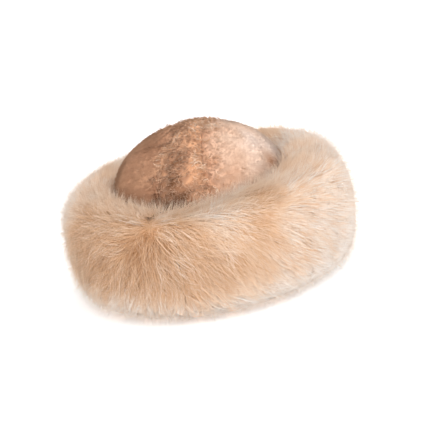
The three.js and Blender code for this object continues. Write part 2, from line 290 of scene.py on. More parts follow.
def hair_mesh(name, paths, outward, half_widths, shade):
    """One mesh of closed, three-sided hairs that taper to a point. paths holds the points along
    the middle of each hair, and shade how light each hair is. The UV map gives shade, and root to
    tip."""
    hairs, points, _ = paths.shape
    rings = points - 1
    along = unit(np.gradient(paths, axis=1))
    beside = unit(np.cross(along, outward))
    facing = np.cross(along, beside)
    turns = np.array([0.25, 0.25 + 1 / 3, 0.25 + 2 / 3]) * TAU
    ring = beside[:, :rings, None] * np.cos(turns)[:, None]
    ring = ring + facing[:, :rings, None] * np.sin(turns)[:, None]
    skin = paths[:, :rings, None] + ring * half_widths[:, :rings, None, None]
    vertices = np.concatenate([skin.reshape(hairs, -1, 3), paths[:, -1:]], axis=1)

    walls = [
        (3 * r + s, 3 * r + (s + 1) % 3, 3 * r + 3 + (s + 1) % 3, 3 * r + 3 + s)
        for r in range(rings - 1)
        for s in range(3)
    ]
    last = 3 * (rings - 1)
    ends = [(0, 2, 1)] + [(last + s, last + (s + 1) % 3, 3 * rings) for s in range(3)]
    loops = np.concatenate([np.ravel(walls), np.ravel(ends)]).astype(int)
    sizes = np.array([4] * len(walls) + [3] * len(ends))
    start = np.arange(hairs)[:, None] * (3 * rings + 1)

    mesh = bpy.data.meshes.new(name)
    mesh.vertices.add(vertices.shape[0] * vertices.shape[1])
    mesh.vertices.foreach_set("co", vertices.ravel())
    mesh.loops.add(hairs * len(loops))
    mesh.loops.foreach_set("vertex_index", (start + loops).ravel())
    mesh.polygons.add(hairs * len(sizes))
    first = np.concatenate([[0], np.cumsum(sizes)[:-1]])
    first = np.arange(hairs)[:, None] * len(loops) + first
    mesh.polygons.foreach_set("loop_start", first.ravel())
    mesh.polygons.foreach_set("loop_total", np.tile(sizes, hairs))
    mesh.update(calc_edges=True)
    mesh.polygons.foreach_set("use_smooth", np.ones(len(mesh.polygons), bool))
    even = np.broadcast_to(outward[:, :rings, None], ring.shape)
    normals = unit(even * EVENNESS + ring * (1 - EVENNESS)).reshape(hairs, -1, 3)
    normals = np.concatenate([normals, unit(outward[:, -1:])], axis=1)
    mesh.normals_split_custom_set_from_vertices(normals.reshape(-1, 3))

    root_to_tip = np.append(np.repeat(np.arange(rings), 3), rings) / rings
    edge = np.append(np.tile([0, 0.5, 1], rings), 0.5) * SHADE_OF_EDGE
    u = np.clip(np.clip(shade, *SHADES)[:, None] + edge, 0, 1)
    uv = np.stack(np.broadcast_arrays(u, root_to_tip), -1)[:, loops]
    layer = mesh.uv_layers.new(name="hair")
    layer.uv.foreach_set("vector", uv.ravel().astype(np.float32))
    return piece(name, mesh)


def piece(name, mesh):
    """An object of the hat that holds a mesh, at the origin."""
    made = bpy.data.objects.new(name, mesh)
    bpy.context.collection.objects.link(made)
    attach(made, "root")
    return made


def patchy(rng, points, size, rounds=24):
    """A smooth, random value near each point, from about -1 to 1, in patches of a size."""
    value = np.zeros(points.shape[:-1])
    for _ in range(rounds):
        wave = unit(rng.normal(size=3)) * TAU / size * rng.uniform(0.6, 1.4)
        value += np.sin(points @ wave + rng.uniform(0, TAU))
    return value / math.sqrt(rounds / 2)


# How much paler the fur is at the very bottom: paler tips, with painted light that lifts the shade
# under the hat
PALER_AND_PAINTED_LIGHT_BELOW = 0.5

# Patches of the fur that are darker or paler than the rest of it: most are its own tone, some are
# painted shade and painted glow
FUR_TONE_AND_PAINTED_LIGHT = (
    # turn in degrees, place over the section, spread in mm, change of shade
    (-14, 0.42, 52, -0.36),
    (-44, 0.50, 46, -0.38),
    (12, 0.50, 34, -0.12),
    (34, 0.46, 34, -0.04),
    (-10, 0.215, 6, -0.70),
    (-10, 0.215, 26, 0.17),
    # These three rows: paler tips, with a painted glow where the fur turns away along the outline
    # on the wearer's left and behind
    (72, 0.50, 50, 0.24),
    (100, 0.45, 60, 0.20),
    (125, 0.20, 45, 0.22),
    # This row: painted shade on the fur behind the crown
    (152, 0.08, 26, -0.22),
    (116, 0.02, 20, 0.16),
    # This row: paler tips, with a painted glow along the outline on the wearer's right
    (-98, 0.45, 52, 0.42),
    (14, 0.22, 20, 0.30),
    (-24, 0.20, 16, 0.12),
    (180, 0.30, 80, 0.05),
    (-18, 0.12, 14, 0.18),
    (-70, 0.45, 26, 0.12),
)


def fur_shade(point):
    """How light the fur is at points on it, from 0 to 1, with painted shade, painted glow and
    painted light in some places.
    """
    fixed = np.random.default_rng(5)
    shade = 0.48 + 0.05 * patchy(fixed, point, 60 * MM) + 0.05 * patchy(fixed, point, 22 * MM)
    for turn, over, spread, change in FUR_TONE_AND_PAINTED_LIGHT:
        middle, _ = cuff_point(np.array(math.radians(turn)), np.array(over), 0)
        away = np.linalg.norm(point - middle, axis=-1) / (spread * MM)
        shade += change * near(away, 0, 1)
    return shade + PALER_AND_PAINTED_LIGHT_BELOW * (1 - smooth(point[..., 2], 0, 0.4 * CUFF_HEIGHT))


def ruffled(angle):
    """How ruffled the locks are: most on the wearer's right of the front, least on the left."""
    turned = turned_from(angle)
    return 0.7 + 0.3 * near(turned, -0.25, 0.5) - 0.58 * near(turned, 1.3, 0.85)


# How far the fur is trimmed in some places, and how much fuller it is in others
TRIM_BELOW = 3 * MM
TRIM_RIGHT = 5 * MM
FULLER_LEFT = 5 * MM
FULLER_BESIDE_CROWN = 5 * MM


def trimmed(angle, over):
    """How far the fur stands in from its full form: low down, and on the wearer's right. It is
    fuller on the left of the outside, and beside the crown on the left and the front right."""
    turned = turned_from(angle)
    right = near(turned, -1.3, 0.7) * smooth(over, 0.03, 0.2)
    left = near(turned, 1.6, 0.5) * smooth(over, 0.3, 0.5)
    beside = near(turned, 1.6, 0.4) + 0.6 * near(turned, -0.9, 0.4)
    beside = beside * (1 - smooth(over, 0.1, 0.3))
    cut = TRIM_BELOW * smooth(over, 0.5, 0.75) + TRIM_RIGHT * right
    return cut - FULLER_LEFT * left - FULLER_BESIDE_CROWN * beside


# From where to where over the section hair has its roots
ROOTS_OVER = (-0.01, 0.86)
# How far from where the halves meet hair starts, as a turn
SEAM_TURN = 0.003
QUARTERS = (
    ("front", SEAM_TURN, math.pi / 2),
    ("back", math.pi / 2, math.pi - SEAM_TURN),
)


def fur_roots(rng, side, low, high, count, reach=ROOTS_OVER):
    """Where locks of fur start on one half of the cuff, between two turns from the front."""
    angle = rng.uniform(low, high, count * 3) * side
    over = rng.uniform(*reach, count * 3)
    point, _ = cuff_point(angle, over, 0)
    room = np.linalg.norm(point[:, :2] - HEAD[:2], axis=1)
    kept = rng.random(len(room)) < room / room.max()
    return angle[kept][:count], over[kept][:count], point[kept][:count]


def lock_tracks(rng, side, low, high, fur, layer):
    """The way of each lock from root to tip, as a turn and a place over the section at each of its
    points, and how ruffled each lock is."""
    points = layer["points"]
    locks = layer["hairs"] // layer["per_lock"]
    angle, over, start = fur_roots(rng, side, low, high, locks, layer["reach"])
    swirl = patchy(np.random.default_rng(9), start, 55 * MM)
    wild = ruffled(angle)
    tangle = fur.tangle * layer["tangle"]
    lean = fur.swirl * swirl + rng.normal(0, tangle, locks) * wild
    bend = rng.normal(0, 2.2 * tangle, locks) * wild
    length = layer["length"] * rng.uniform(0.7, 1.2, locks)
    stride = length / (points - 1)
    track = [(angle, over)]
    for k in range(1, points):
        share = (k - 0.5) / (points - 1)
        heading = lie_of_fur(*track[-1]) + lean + bend * (share - 0.35)
        turn = stride * np.sin(heading) / OUTER_RADIUS
        onward = stride * np.cos(heading) / SECTION_LENGTH
        track.append((track[-1][0] + turn, track[-1][1] + onward))
    return np.array(track).transpose(2, 1, 0), wild


def fur_hairs(rng, name, side, low, high, fur, layer):
    """One mesh of hair over part of the cuff, in locks. layer gives its count, length and size."""
    per_lock = layer["per_lock"]
    points = layer["points"]
    track, wild = lock_tracks(rng, side, low, high, fur, layer)
    locks = len(track)
    track = np.repeat(track, per_lock, axis=0)

    hairs = len(track)
    share = np.linspace(0, 1, points)
    each_wild = np.repeat(wild, per_lock)
    gathered = 1 - layer["gather"] * each_wild[:, None] * share**1.3
    spread = rng.normal(0, fur.lock_width / 2, (hairs, 2))
    stray = rng.normal(0, fur.stray, (hairs, 2)) * each_wild[:, None]
    aside = spread[:, :1] * gathered + stray[:, :1] * share**1.5
    onward = spread[:, 1:] * gathered + stray[:, 1:] * share**1.5
    wave = rng.normal(0, 0.8 * MM, (hairs, points)) * (share > 0)
    aside = aside + wave * each_wild[:, None]
    loft = np.repeat(rng.normal(0, fur.lock_play, locks) * wild, per_lock)
    loft += rng.normal(0, fur.play, hairs) * each_wild
    flyaway = rng.random(hairs) < layer["flyaway"] * each_wild
    loft += np.where(flyaway, rng.uniform(1, 6, hairs) * MM, 0)
    loft = np.maximum(loft, LOWEST_LOFT) + layer["loft"]
    root = layer["root"] * (0.6 + 0.4 * each_wild[:, None])
    depth = root + (-loft[:, None] - root) * np.sin(share * math.pi / 2) ** 1.2
    depth = depth + trimmed(*track.transpose(1, 0, 2))
    paths, outward = cuff_point(
        track[:, 0] + aside / OUTER_RADIUS, track[:, 1] + onward / SECTION_LENGTH, depth
    )
    paths[..., 2] = np.maximum(paths[..., 2], LOWEST_HAIR)
    taper = layer["half_width"] * np.array([0.8] + [1] * (points - 3) + [0.7, 0])
    widths = taper * rng.uniform(0.7, 1.25, (hairs, 1))
    shade = fur_shade(paths[:, points // 2])
    shade += np.repeat(rng.normal(0, 0.12, locks) * wild**2, per_lock)
    shade += rng.normal(0, 0.08, hairs) * each_wild + layer["paler"]
    return hair_mesh(name, paths, outward, widths, shade)


# How deep in the fur the single tips start
FUZZ_ROOT = 6 * MM


def fur_fuzz(rng, name, side, fur):
    """Thin single tips that stand out of the fur of one half and make its outline soft."""
    angle, over, _ = fur_roots(rng, side, SEAM_TURN, math.pi - SEAM_TURN, fur.fuzz)
    over = np.minimum(over, 0.8)
    share = np.array([0, 1])
    length = fur.fuzz_length * rng.uniform(0.6, 1.4, len(angle))
    heading = lie_of_fur(angle, over) + rng.normal(0, 0.5, len(angle)) * ruffled(angle)
    lean = rng.uniform(0.6, 1.5, len(angle))
    flat = (length * np.cos(lean))[:, None] * share
    rise = (length * np.sin(lean))[:, None] * share
    turn = angle[:, None] + flat * np.sin(heading)[:, None] / OUTER_RADIUS
    place = over[:, None] + flat * np.cos(heading)[:, None] / SECTION_LENGTH
    paths, outward = cuff_point(turn, place, FUZZ_ROOT + trimmed(turn, place) - rise)
    paths[..., 2] = np.maximum(paths[..., 2], LOWEST_HAIR)
    widths = fur.half_width * 0.7 * np.array([1, 0]) * rng.uniform(0.7, 1.2, (len(angle), 1))
    # Single tips are paler, and a painted glow makes them paler still towards the sides and back,
    # along the outline
    pale = 0.15 + 0.35 * smooth(np.abs(angle + 0.1), 0.4, 1.3) * smooth(over, 0.08, 0.35)
    shade = fur_shade(paths[:, 0]) + pale + rng.normal(0, 0.05, len(angle))
    return hair_mesh(name, paths, outward, widths, shade)


# Materials


class Value:
    """A number that varies over a surface, so that shader maths reads as sums."""

    def __init__(self, finish, socket):
        self.finish = finish
        self.socket = socket

    def maths(self, operation, *others):
        """The value of a Math node that starts from this value."""
        node = self.finish.node("ShaderNodeMath", {"operation": operation}, (self.socket, *others))
        return Value(self.finish, node.outputs[0])

    def __mul__(self, other):
        return self.maths("MULTIPLY", other)

    def __sub__(self, other):
        return self.maths("SUBTRACT", other)

    def __pow__(self, other):
        return self.maths("POWER", other)

    def __rsub__(self, other):
        node = self.finish.node("ShaderNodeMath", {"operation": "SUBTRACT"}, (other, self.socket))
        return Value(self.finish, node.outputs[0])

    __rmul__ = __mul__

    def ramp(self, stops):
        """Colours along a ramp at this value. stops is a list of places and colours."""
        node = self.finish.node("ShaderNodeValToRGB", {"stops": stops}, (self.socket,))
        return node.outputs["Color"]


class Finish:
    """A material for the hat with one shader, and the nodes that feed it."""

    def __init__(self, name, roughness, sheen=0.0, tint=(1, 1, 1)):
        self.material = bpy.data.materials.new(name)
        self.material.use_nodes = True
        self.tree = self.material.node_tree
        self.shader = self.tree.nodes["Principled BSDF"]
        self.shader.inputs["Roughness"].default_value = roughness
        self.shader.inputs["Specular IOR Level"].default_value = 0.2
        self.shader.inputs["Sheen Weight"].default_value = sheen
        self.shader.inputs["Sheen Tint"].default_value = (*tint, 1)

    def node(self, kind, settings=None, values=()):
        """A node of a type, with its settings, then its inputs by order or by name."""
        made = self.tree.nodes.new(kind)
        for key, setting in (settings or {}).items():
            if key == "stops":
                self.set_stops(made.color_ramp, setting)
            else:
                setattr(made, key, setting)
        pairs = values.items() if isinstance(values, dict) else enumerate(values)
        for key, value in pairs:
            socket = made.inputs[key]
            if isinstance(value, Value):
                value = value.socket
            if isinstance(value, bpy.types.NodeSocket):
                self.tree.links.new(value, socket)
            else:
                socket.default_value = value
        return made

    def set_stops(self, ramp, stops):
        """Gives a ramp its places and colours."""
        while len(ramp.elements) < len(stops):
            ramp.elements.new(0.5)
        for element, (place, colour) in zip(ramp.elements, stops):
            element.position = place
            element.color = (*colour, 1)

    def hair_place(self):
        """How light a hair is, and the way from its root to its tip, from the map of the hairs."""
        uv = self.node("ShaderNodeUVMap", {"uv_map": "hair"})
        parts = self.node("ShaderNodeSeparateXYZ", values=(uv.outputs[0],))
        return Value(self, parts.outputs[0]), Value(self, parts.outputs[1])

    def noise(self, scale, detail, distortion):
        """Noise over the object, as a height."""
        values = {
            "Vector": self.node("ShaderNodeTexCoord").outputs["Object"],
            "Scale": scale,
            "Detail": detail,
            "Distortion": distortion,
        }
        return Value(self, self.node("ShaderNodeTexNoise", values=values).outputs["Fac"])

    def mix(self, share, one, other, way="MIX"):
        """A colour between two, or one of Blender's other ways to mix them."""
        one, other = (
            colour if isinstance(colour, bpy.types.NodeSocket) else (*colour, 1)
            for colour in (one, other)
        )
        settings = {"data_type": "RGBA", "blend_type": way}
        node = self.node("ShaderNodeMix", settings, {0: share, 6: one, 7: other})
        return node.outputs[2]

    def paint(self, colour):
        """Gives the surface its colour."""
        self.tree.links.new(colour, self.shader.inputs["Base Color"])

    def emboss(self, height, strength, distance):
        """Raises the surface by a height."""
        values = {"Height": height, "Strength": strength, "Distance": distance}
        bump = self.node("ShaderNodeBump", values=values)
        self.tree.links.new(bump.outputs[0], self.shader.inputs["Normal"])


def hair_finish(name, stops, root, tip, sheen, tint, paler=0.45):
    """Hair whose colour goes by how light it is, with a darker root and a paler tip."""
    finish = Finish(name, roughness=0.8, sheen=sheen, tint=tint)
    shade, along = finish.hair_place()
    colour = shade.ramp(stops)
    colour = finish.mix((1 - along) ** 2 * 0.5, colour, root, "MULTIPLY")
    colour = finish.mix(along**2 * paler, colour, tip)
    finish.paint(colour)
    return finish.material


def skin_finish(name, stops, suede):
    """The closed pile of a panel below its hairs, and the bare skin inside the crown."""
    finish = Finish(name, roughness=0.95, sheen=0.2, tint=stops[1][1])
    shade, _ = finish.hair_place()
    finish.paint(shade.ramp([*stops[:-1], (0.96, stops[-1][1]), (1, suede)]))
    finish.emboss(finish.noise(540, 3, 0.6), 0.3, 0.4 * MM)
    return finish.material


# Sizes and colours that a user would change


class FurSettings(bpy.types.PropertyGroup):
    """The long fur of the cuff."""

    hairs: IntProperty(name="Hairs", description="Long hairs on a quarter", default=5900, min=100)
    down: IntProperty(name="Down", description="Short hairs on a quarter", default=5800, min=100)
    fuzz: IntProperty(name="Fuzz", description="Single tips on each half", default=17000, min=100)
    wisps: IntProperty(name="Wisps", description="Pale, ruffled hairs", default=1700, min=100)
    fuzz_length: FloatProperty(
        name="Fuzz length", description="Single tips", default=12.5 * MM, unit="LENGTH"
    )
    length: FloatProperty(
        name="Length", description="Long hair, root to tip", default=52 * MM, unit="LENGTH"
    )
    down_length: FloatProperty(
        name="Down length", description="Short hair, root to tip", default=28 * MM, unit="LENGTH"
    )
    half_width: FloatProperty(
        name="Hair", description="Half the thickness of a hair", default=0.21 * MM, unit="LENGTH"
    )
    lock_width: FloatProperty(
        name="Lock", description="Width of a lock at its roots", default=6 * MM, unit="LENGTH"
    )
    gather: FloatProperty(
        name="Gather", description="How much of its width a lock loses by its tip", default=0.42
    )
    stray: FloatProperty(
        name="Stray", description="How far tips stray sideways", default=3 * MM, unit="LENGTH"
    )
    swirl: FloatProperty(
        name="Swirl", description="How far locks turn together", default=0.22, unit="ROTATION"
    )
    tangle: FloatProperty(
        name="Tangle", description="How far each lock turns", default=0.24, unit="ROTATION"
    )
    lock_play: FloatProperty(
        name="Lock loft", description="How unevenly locks lie", default=1 * MM, unit="LENGTH"
    )
    play: FloatProperty(
        name="Hair loft", description="How unevenly hairs lie", default=1.2 * MM, unit="LENGTH"
    )
    tan: FloatVectorProperty(
        name="Tan", description="Darkest fur", subtype="COLOR", default=srgb(182, 134, 90)
    )
    peach: FloatVectorProperty(
        name="Peach", description="Most of the fur", subtype="COLOR", default=srgb(224, 178, 134)
    )
    cream: FloatVectorProperty(
        name="Cream", description="Pale fur", subtype="COLOR", default=srgb(241, 212, 184)
    )
    tips: FloatVectorProperty(
        name="Tips", description="Palest tips", subtype="COLOR", default=srgb(242, 238, 233)
    )


class CrownSettings(bpy.types.PropertyGroup):
    """The sheared pile of the crown."""

    hairs: IntProperty(name="Pile", description="Hairs on each side panel", default=9500, min=100)
    tufts: IntProperty(name="Tufts", description="Hairs on the centre panel", default=5000, min=100)
    length: FloatProperty(
        name="Pile length", description="Sheared hair, root to tip", default=7 * MM, unit="LENGTH"
    )
    brown: FloatVectorProperty(
        name="Brown", description="Right panel", subtype="COLOR", default=srgb(178, 133, 104)
    )
    orange: FloatVectorProperty(
        name="Orange", description="Centre panel", subtype="COLOR", default=srgb(226, 170, 130)
    )
    cream: FloatVectorProperty(
        name="Cream", description="Left panel", subtype="COLOR", default=srgb(224, 190, 166)
    )
    suede: FloatVectorProperty(
        name="Suede", description="Skin inside", subtype="COLOR", default=srgb(214, 184, 156)
    )


class StageSettings(bpy.types.PropertyGroup):
    """The camera, the light and the floor."""

    lens: FloatProperty(name="Lens", description="Focal length in millimetres", default=100)
    distance: FloatProperty(
        name="Distance", description="Camera to hat", default=1.33, unit="LENGTH"
    )
    azimuth: FloatProperty(
        name="Azimuth", description="From the front", default=math.radians(11), unit="ROTATION"
    )
    elevation: FloatProperty(
        name="Elevation", description="Above the floor", default=math.radians(17.2), unit="ROTATION"
    )
    roll: FloatProperty(
        name="Roll", description="Tilt of the picture", default=math.radians(9), unit="ROTATION"
    )
    floor: FloatVectorProperty(
        name="Floor", description="Colour of the floor", subtype="COLOR", default=(0.95, 0.95, 0.95)
    )


# Pieces

PANELS = {"centre": 0, "left": 1, "right": -1}
PILE_SLOTS = {"centre": "curly_pile", "left": "cream_pile", "right": "brown_pile"}

# How near points of a solid are one, and from which angle its edges stay sharp
WELD = 0.02 * MM
SHARP = math.radians(50)

# How far in from the solids the closed pile and the underfur lie, and how fine the underfur is
SKIN_DEPTH = 1.2 * MM
UNDERFUR_DEPTH = 6 * MM
UNDERFUR_MOST = 12 * MM
UNDERFUR_GRAIN = 4.5 * MM


def settings():
    """The settings of the fur, of the crown and of the stage."""
    return bpy.context.scene.hat_fur, bpy.context.scene.hat_crown, bpy.context.scene.hat_stage


def only(made):
    """Selects one object alone and makes it the active one."""
    bpy.ops.object.select_all(action="DESELECT")
    made.select_set(True)
    bpy.context.view_layer.objects.active = made


def copy_of(node, name):
    """A copy of a solid with its loose triangles joined up, to be shaped into a piece."""
    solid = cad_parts[node]
    made = bpy.data.objects.new(name, solid.data.copy())
    made.data.materials.clear()
    bpy.context.collection.objects.link(made)
    only(made)
    bpy.ops.object.mode_set(mode="EDIT")
    bpy.ops.mesh.select_all(action="SELECT")
    bpy.ops.mesh.remove_doubles(threshold=WELD)
    bpy.ops.mesh.tris_convert_to_quads()
    bpy.ops.object.mode_set(mode="OBJECT")
    return made


def apply_modifier(made, kind, **values):
    """Adds a modifier, sets it and applies it."""
    modifier = made.modifiers.new(kind.title(), kind)
    for key, value in values.items():
        setattr(modifier, key, value)
    only(made)
    bpy.ops.object.modifier_apply(modifier=modifier.name)


def crease_edges(made):
    """Keeps the sharp edges of a piece where they are when it is subdivided."""
    only(made)
    bpy.ops.object.mode_set(mode="EDIT")
    bpy.ops.mesh.select_mode(type="EDGE")
    bpy.ops.mesh.select_all(action="DESELECT")
    bpy.ops.mesh.edges_select_sharp(sharpness=SHARP)
    bpy.ops.transform.edge_crease(value=1)
    bpy.ops.object.mode_set(mode="OBJECT")


def sink_outside(made, most, facing, share=lambda vertex: 1):
    """Moves the outside of a piece in, under its hair. facing tells how far a face looks out, and
    share how much of the most it moves."""
    group = made.vertex_groups.new(name="outside")
    for vertex in made.data.vertices:
        moved = smooth(facing(vertex), 0.1, 0.5) * share(vertex)
        group.add([vertex.index], float(moved), "REPLACE")
    apply_modifier(made, "DISPLACE", strength=-most, mid_level=0, vertex_group="outside")


def off_middle(vertex):
    """How far aside of the middle of the head a vertex is."""
    return vertex.co.xy - Vector(HEAD[:2])


def looks_off_crown(vertex):
    """How far a face of the crown looks out and up."""
    away = Vector((*off_middle(vertex), max(vertex.co.z - SHOULDER, 0)))
    return vertex.normal.dot(away.normalized())


def looks_off_cuff(vertex):
    """How far a face of the cuff looks out or up, and not at the other half."""
    away = Vector((*off_middle(vertex), 0)).normalized()
    at_seam = abs(vertex.normal.x) > 0.8 and abs(vertex.co.x - HEAD[0]) < 4 * MM
    return 0 if at_seam else max(vertex.normal.dot(away), vertex.normal.z)


def underfur_share(vertex):
    """How far in the underfur is at a vertex, as a share of the most: deeper where the fur is
    trimmed."""
    aside = off_middle(vertex)
    cut = trimmed(math.atan2(aside.x, -aside.y), 0.4)
    return (UNDERFUR_DEPTH + max(cut, 0)) / UNDERFUR_MOST


def dress(made, material, slot, *nodes):
    """Gives a piece its finish and hides the solids that it stands for."""
    made.data.materials.append(material)
    if nodes:
        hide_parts(*nodes)


# What darkens the roots of the pile, and its sheen
SIDE_ROOTS = srgb(240, 224, 212)
TUFT_ROOTS = srgb(190, 145, 115)
PILE_SHEEN = 0.25


def pile_stops(crown, side):
    """The colours of a panel's pile from its darkest to its palest hair."""
    if side > 0:
        return [(0, srgb(198, 142, 106)), (0.5, crown.cream), (1, srgb(246, 224, 210))]
    if side < 0:
        return [(0, srgb(128, 86, 60)), (0.5, crown.brown), (1, srgb(208, 162, 128))]
    return [
        (0, srgb(112, 72, 44)),
        (0.4, crown.brown),
        (0.75, crown.orange),
        (1, srgb(248, 222, 196)),
    ]


# How far out on the crown's plan the pile goes, below which the fur hides it
PILE_REACH = 0.86
# How many places are tried for each hair, and what keeps the chance of each of them under 1
TRIES = 12
MOST_DENSE = 2.02
# How deep the roots of the pile and of the tufts are
PILE_ROOT = 3.2 * MM
TUFT_ROOT = 3.5 * MM


def pile_places(rng, count, wanted):
    """Random places on the crown's plan, as dense on the dome as on its sides, where wanted."""
    across, along = rng.uniform(-PILE_REACH, PILE_REACH, (2, count * TRIES))
    reach = np.hypot(across, along)
    turn = np.clip(reach / DOME_SHARE, 0, 1) * math.pi / 2
    dense = np.sin(turn) / np.maximum(reach, 1e-6) / MOST_DENSE
    kept = (reach < PILE_REACH) & (rng.random(len(reach)) < dense) & wanted(across, along)
    return across[kept][:count], along[kept][:count]


def side_pile(rng, name, side, crown):
    """The smooth pile of one side panel, which leans over its seam."""
    ragged = rng.exponential(0.02, crown.hairs * TRIES)
    across, along = pile_places(rng, crown.hairs, lambda a, b: a * side > seam_across(b) - ragged)
    left, back, out = crown_axes(across, along)
    root = crown_point(across, along, pile_fall(across, along) + PILE_ROOT)
    over_seam = 1 - 2 * near(past_seam(across * side, along), 0, 9 * MM)
    brushed = 0.4 * patchy(rng, root, 60 * MM) + 0.1 * patchy(rng, root, 12 * MM)
    way = left * (side * over_seam * np.cos(brushed))[:, None] + back * np.sin(brushed)[:, None]
    share = np.array([0.0, 1.0])[None, :, None]
    length = crown.length * rng.uniform(0.8, 1.12, (len(across), 1, 1))
    lean = out[:, None] * 0.62 + way[:, None] * 0.5
    jitter = rng.normal(0, 0.4 * MM, (len(across), 1, 3))
    paths = root[:, None] + (lean * length + jitter) * share
    widths = 0.6 * MM * np.array([1, 0]) * rng.uniform(0.8, 1.2, (len(across), 1))
    shade = pile_shade(root, across, along, side) + rng.normal(0, 0.02, len(across))
    outward = np.repeat(out[:, None], 2, axis=1)
    return hair_mesh(name, paths, outward, widths, shade)


def centre_tufts(rng, name, crown):
    """The rough pile of the centre panel, in small tufts that each turn their own way."""
    per_tuft = 4
    points = 4
    tufts = crown.tufts // per_tuft
    ragged = rng.exponential(0.045, tufts * TRIES)
    across, along = pile_places(rng, tufts, lambda a, b: np.abs(a) < seam_across(b) + ragged)
    axes = (np.repeat(axis, per_tuft, axis=0)[:, None] for axis in crown_axes(across, along))
    left, back, out = axes
    root = crown_point(across, along, pile_fall(across, along) + TUFT_ROOT)
    turn = 0.5 * patchy(rng, root, 26 * MM) + rng.normal(0, 0.5, len(across)) - math.pi / 2
    root = np.repeat(root, per_tuft, axis=0)
    hairs = (len(root), 1)
    root = root[:, None] + rng.normal(0, 0.9 * MM, (len(root), 1, 3))
    share = np.linspace(0, 1, points)[None, :]
    turn = np.repeat(turn, per_tuft)[:, None] + rng.normal(0, 0.3, hairs)
    turn = turn + rng.normal(0, 0.9, hairs) * share
    length = crown.length * rng.uniform(0.8, 1.4, hairs)
    flat = 0.75 * length * share**1.2
    lift = 0.6 * length * np.sin(share * math.pi / 2)
    paths = root + left * (flat * np.cos(turn))[..., None] + back * (flat * np.sin(turn))[..., None]
    paths = paths + out * lift[..., None]
    outward = np.repeat(out, points, axis=1)
    widths = 0.36 * MM * np.array([1, 1, 0.7, 0]) * rng.uniform(0.8, 1.2, hairs)
    across, along = np.repeat(across, per_tuft), np.repeat(along, per_tuft)
    shade = pile_shade(paths[:, 0], across, along, 0) + rng.normal(0, 0.06, len(across))
    shade += np.repeat(rng.normal(0, 0.13, tufts), per_tuft)[: len(shade)]
    return hair_mesh(name, paths, outward, widths, shade)


# Places on the plan of the crown where the pile is paler or darker: most are its own tone, one is
# painted shade in a fold and some are painted highlights on the rim
PILE_TONE_AND_PAINTED_LIGHT = (
    # across, along, spread, change of shade
    (-0.075, -0.17, 0.035, 0.55),
    (-0.10, -0.25, 0.03, 0.60),
    (-0.13, -0.33, 0.03, 0.60),
    (-0.16, -0.41, 0.035, 0.50),
    (-0.03, -0.39, 0.05, -0.30),
    (-0.06, -0.53, 0.05, -0.35),
    (-0.08, -0.66, 0.06, -0.35),
    (0.06, -0.44, 0.05, 0.20),
    (0.06, -0.58, 0.05, 0.16),
    (0.13, -0.44, 0.05, 0.12),
    (0.03, 0.02, 0.09, 0.14),
    (0.16, -0.52, 0.04, -0.12),
    (0.03, -0.67, 0.06, -0.50),
    (-0.21, -0.65, 0.08, -0.25),
    (0.15, -0.03, 0.035, 0.40),
    (-0.21, -0.20, 0.09, -0.34),
    (0.37, -0.46, 0.14, -0.15),
    # This row: a painted highlight on the top of the left panel
    (0.43, -0.06, 0.13, 0.34),
    # This row: painted shade in the fold where the crown meets the fur, over a brown tint
    (0.605, -0.13, 0.06, -0.52),
    # This row: a painted highlight on the outer rim of the left panel
    (0.66, 0.12, 0.06, 0.30),
    (0.55, -0.27, 0.08, 0.20),
    # These two rows: painted highlights on the outer rim of the left panel
    (0.56, 0.14, 0.12, 0.30),
    (0.63, 0.03, 0.08, 0.25),
    (0.16, -0.60, 0.035, -0.22),
    (0.19, -0.40, 0.04, -0.14),
)


def spots(across, along, table, scale=1):
    """What each row of a table changes at places on the plan of the crown."""
    for middle_across, middle_along, spread, most in table:
        away = np.hypot(across - middle_across, along - middle_along) / spread
        yield most * scale * near(away, 0, 1)


def pile_shade(points, across, along, side):
    """How light the pile is on a panel, from 0 to 1, with its painted highlights and painted shade.
    side is 0 on the centre panel.
    """
    fixed = np.random.default_rng(41 + side)
    from_seam = past_seam(across * (side or 1), along)
    if side:
        shade = 0.5 + 0.06 * patchy(fixed, points, 30 * MM) + 0.02 * patchy(fixed, points, 7 * MM)
        shade -= 0.4 * (side > 0) * np.exp(-np.maximum(from_seam, 0) / (12 * MM))
    else:
        shade = 0.38 + 0.1 * patchy(fixed, points, 12 * MM) + 0.3 * smooth(from_seam, -26 * MM, 0)
    return shade + sum(spots(across, along, PILE_TONE_AND_PAINTED_LIGHT))


def skin_shade(points, side):
    """How light the closed pile of a panel is at points on it."""
    return pile_shade(points, *crown_plan(points), side)


# Dents in the crown
DENTS = (
    # across, along, spread, depth in mm
    (-0.11, -0.48, 0.10, 1.8),
    (0.64, -0.12, 0.11, 1.5),
    (-0.12, -0.16, 0.12, 1.2),
    (0.30, 0.45, 0.18, 1.2),
    (-0.45, 0.38, 0.18, 1.2),
)
# How far the pile falls at a seam, and how far from the seam it starts to
SEAM_FALL = 1.25 * MM
PILLOW = 26 * MM


def pile_fall(across, along):
    """How far the pile falls towards a seam and in the dents."""
    from_seam = np.abs(past_seam(np.abs(across), along))
    fall = SEAM_FALL * (1 - smooth(from_seam, 0, PILLOW))
    fall = sum(spots(across, along, DENTS, MM), fall)
    return fall * (1 - smooth(np.hypot(across, along), DOME_SHARE, 1))


# Which place between root and tip gives a closed piece its colour
CLOSED_ALONG = 0.35


